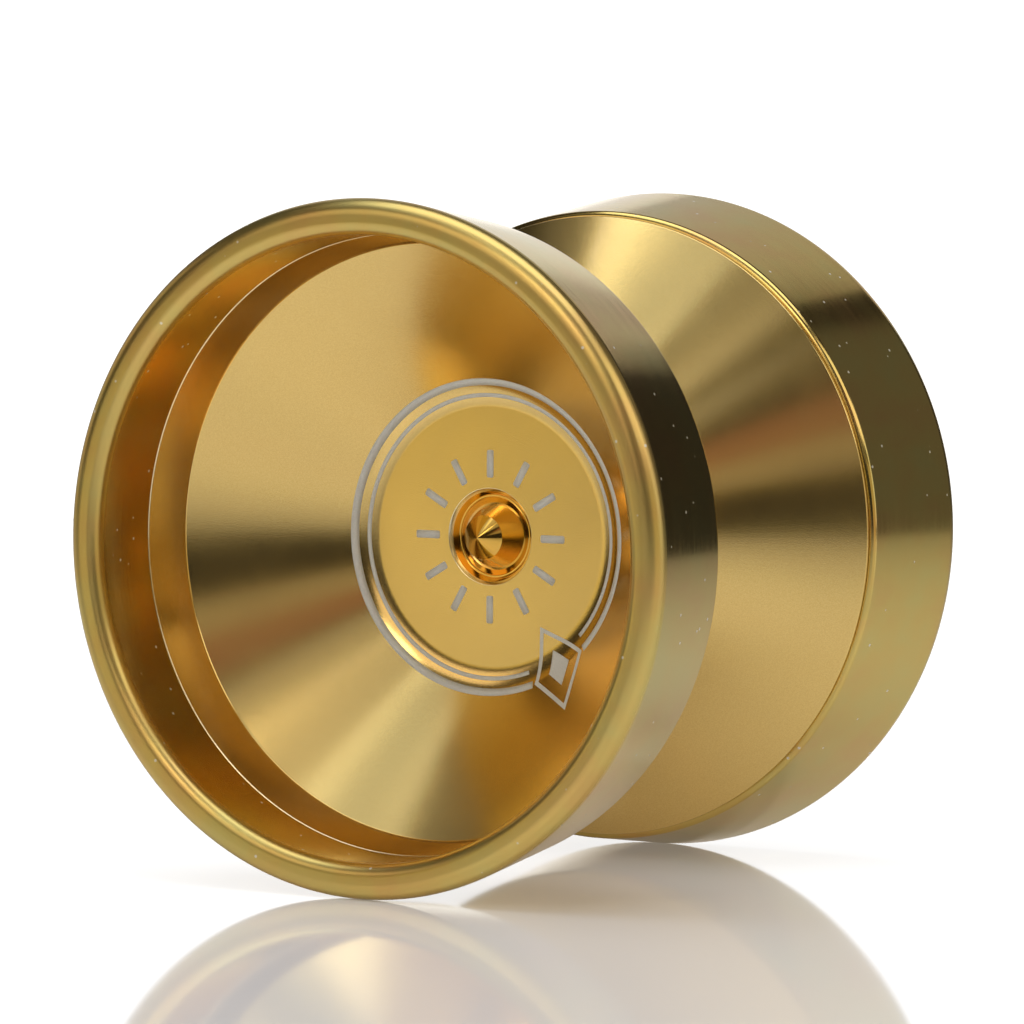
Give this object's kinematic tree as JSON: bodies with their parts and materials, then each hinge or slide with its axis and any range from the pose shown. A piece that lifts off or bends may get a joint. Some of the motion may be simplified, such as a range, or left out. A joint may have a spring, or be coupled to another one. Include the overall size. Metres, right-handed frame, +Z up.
{
  "type": "yo yo",
  "caption": "Wide V-shaped unresponsive yo-yo: two gold cups with heavy steel rims, screwed together round a centring ball bearing.",
  "frame": {"origin": "on the spin axis, in the middle of the string gap", "axes": "+Y along the spin axis from the left half to the right half, +Z up when the yo-yo stands on its rims"},
  "size_m": [0.054, 0.0482, 0.054],
  "materials": {
    "anodised_aluminium": "bead blasted and gold anodised, satin",
    "coated_steel": "turned, polished and gold PVD coated",
    "silicone_pad": "moulded silicone, matt",
    "black_oxide_steel": "black oxide on alloy steel",
    "bearing_steel": "ground and polished",
    "shield_steel": "pressed stainless sheet and drawn wire",
    "cage_brass": "machined brass"
  },
  "bodies": {
    "left_half": {"left_body": "anodised_aluminium", "left_weight_ring": "coated_steel", "left_response_pad": "silicone_pad", "axle_screw": "black_oxide_steel", "bearing_inner_race": "bearing_steel"},
    "outer_race": {"bearing_outer_race": "bearing_steel", "left_bearing_shield": "shield_steel", "right_bearing_shield": "shield_steel", "left_snap_ring": "shield_steel", "right_snap_ring": "shield_steel"},
    "ball_cage": {"bearing_cage": "cage_brass"},
    "right_carrier": {"right_response_pad": "silicone_pad"},
    "right_half": {"right_body": "anodised_aluminium", "right_weight_ring": "coated_steel"},
    "ball_01": {"ball_01": "bearing_steel"},
    "ball_02": {"ball_02": "bearing_steel"},
    "ball_03": {"ball_03": "bearing_steel"},
    "ball_04": {"ball_04": "bearing_steel"},
    "ball_05": {"ball_05": "bearing_steel"},
    "ball_06": {"ball_06": "bearing_steel"},
    "ball_07": {"ball_07": "bearing_steel"},
    "ball_08": {"ball_08": "bearing_steel"},
    "ball_09": {"ball_09": "bearing_steel"},
    "ball_10": {"ball_10": "bearing_steel"}
  },
  "joints": [
    {"name": "bearing_spin", "type": "hinge", "parent": "left_half", "child": "outer_race", "pos_m": [0, 0, 0], "axis": [0, 1, 0], "continuous": true},
    {"name": "cage_orbit", "type": "hinge", "parent": "left_half", "child": "ball_cage", "pos_m": [0, 0, 0], "axis": [0, 1, 0], "continuous": true},
    {"name": "right_half_advance", "type": "slide", "parent": "left_half", "child": "right_carrier", "axis": [0, 1, 0], "range_m": [0, 0.0032]},
    {"name": "right_half_unscrew", "type": "hinge", "parent": "right_carrier", "child": "right_half", "pos_m": [0, 0, 0], "axis": [0, 1, 0], "range_deg": [0, 1620]},
    {"name": "ball_01_roll", "type": "hinge", "parent": "ball_cage", "child": "ball_01", "pos_m": [0.00476, 0, 0], "axis": [0, 1, 0], "continuous": true},
    {"name": "ball_02_roll", "type": "hinge", "parent": "ball_cage", "child": "ball_02", "pos_m": [0.00385, 0, -0.0028], "axis": [0, 1, 0], "continuous": true},
    {"name": "ball_03_roll", "type": "hinge", "parent": "ball_cage", "child": "ball_03", "pos_m": [0.00147, 0, -0.00453], "axis": [0, 1, 0], "continuous": true},
    {"name": "ball_04_roll", "type": "hinge", "parent": "ball_cage", "child": "ball_04", "pos_m": [-0.00147, 0, -0.00453], "axis": [0, 1, 0], "continuous": true},
    {"name": "ball_05_roll", "type": "hinge", "parent": "ball_cage", "child": "ball_05", "pos_m": [-0.00385, 0, -0.0028], "axis": [0, 1, 0], "continuous": true},
    {"name": "ball_06_roll", "type": "hinge", "parent": "ball_cage", "child": "ball_06", "pos_m": [-0.00476, 0, 0], "axis": [0, 1, 0], "continuous": true},
    {"name": "ball_07_roll", "type": "hinge", "parent": "ball_cage", "child": "ball_07", "pos_m": [-0.00385, 0, 0.0028], "axis": [0, 1, 0], "continuous": true},
    {"name": "ball_08_roll", "type": "hinge", "parent": "ball_cage", "child": "ball_08", "pos_m": [-0.00147, 0, 0.00453], "axis": [0, 1, 0], "continuous": true},
    {"name": "ball_09_roll", "type": "hinge", "parent": "ball_cage", "child": "ball_09", "pos_m": [0.00147, 0, 0.00453], "axis": [0, 1, 0], "continuous": true},
    {"name": "ball_10_roll", "type": "hinge", "parent": "ball_cage", "child": "ball_10", "pos_m": [0.00385, 0, 0.0028], "axis": [0, 1, 0], "continuous": true}
  ],
  "couplings": [
    {"joint": "cage_orbit", "follows": "bearing_spin", "ratio": 0.58333},
    {"joint": "right_half_advance", "follows": "right_half_unscrew", "m_per_rad": 0.00011141},
    {"joint": "ball_01_roll", "follows": "bearing_spin", "ratio": 2.9167},
    {"joint": "ball_02_roll", "follows": "bearing_spin", "ratio": 2.9167},
    {"joint": "ball_03_roll", "follows": "bearing_spin", "ratio": 2.9167},
    {"joint": "ball_04_roll", "follows": "bearing_spin", "ratio": 2.9167},
    {"joint": "ball_05_roll", "follows": "bearing_spin", "ratio": 2.9167},
    {"joint": "ball_06_roll", "follows": "bearing_spin", "ratio": 2.9167},
    {"joint": "ball_07_roll", "follows": "bearing_spin", "ratio": 2.9167},
    {"joint": "ball_08_roll", "follows": "bearing_spin", "ratio": 2.9167},
    {"joint": "ball_09_roll", "follows": "bearing_spin", "ratio": 2.9167},
    {"joint": "ball_10_roll", "follows": "bearing_spin", "ratio": 2.9167}
  ]
}
